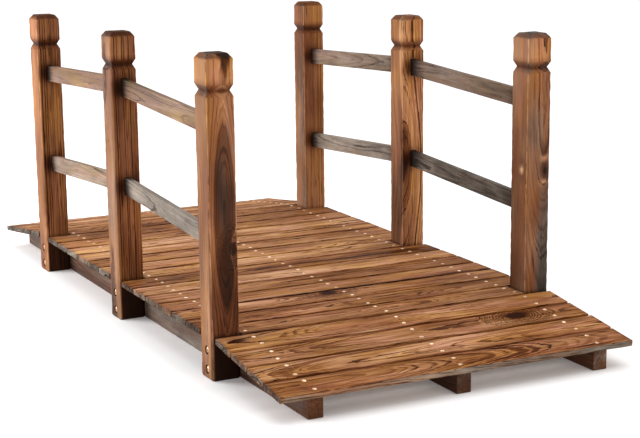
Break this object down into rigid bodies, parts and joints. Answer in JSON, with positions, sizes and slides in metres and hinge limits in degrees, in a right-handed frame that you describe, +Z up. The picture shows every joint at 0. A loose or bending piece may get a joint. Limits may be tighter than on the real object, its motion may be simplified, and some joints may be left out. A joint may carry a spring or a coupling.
{
  "type": "wooden garden footbridge",
  "caption": "Small wooden garden footbridge: plank deck with a ramp at each end, timber bearers, posts with grooved heads, and slatted side rails.",
  "frame": {"origin": "on the ground under the middle of the deck", "axes": "+X along the walkway towards the front end, +Y across it to the right-hand rail, +Z up"},
  "size_m": [1.4786, 0.672, 0.55],
  "materials": {
    "post_wood": "scorched and oiled fir, satin",
    "deck_wood": "scorched and oiled fir, satin",
    "rail_wood": "weathered scorched fir, matt",
    "stringer_wood": "dark scorched fir, matt",
    "nail_brass": "satin",
    "bolt_brass": "satin, dulled"
  },
  "bodies": {
    "root": {"deck_plank_01": "deck_wood", "deck_plank_02": "deck_wood", "deck_plank_03": "deck_wood", "deck_plank_04": "deck_wood", "deck_plank_05": "deck_wood", "deck_plank_06": "deck_wood", "deck_plank_07": "deck_wood", "deck_plank_08": "deck_wood", "deck_plank_09": "deck_wood", "deck_plank_10": "deck_wood", "deck_plank_11": "deck_wood", "deck_plank_12": "deck_wood", "deck_plank_13": "deck_wood", "deck_plank_14": "deck_wood", "deck_plank_15": "deck_wood", "deck_plank_16": "deck_wood", "deck_plank_17": "deck_wood", "deck_plank_18": "deck_wood", "deck_plank_19": "deck_wood", "deck_plank_20": "deck_wood", "deck_plank_21": "deck_wood", "deck_plank_22": "deck_wood", "deck_plank_23": "deck_wood", "post_left_back": "post_wood", "post_left_front": "post_wood", "post_left_middle": "post_wood", "post_right_back": "post_wood", "post_right_front": "post_wood", "post_right_middle": "post_wood", "rail_left_lower_back": "rail_wood", "rail_left_lower_front": "rail_wood", "rail_left_upper_back": "rail_wood", "rail_left_upper_front": "rail_wood", "rail_right_lower_back": "rail_wood", "rail_right_lower_front": "rail_wood", "rail_right_upper_back": "rail_wood", "rail_right_upper_front": "rail_wood", "stringer_left": "stringer_wood", "stringer_middle": "stringer_wood", "stringer_right": "stringer_wood"}
  },
  "joints": []
}
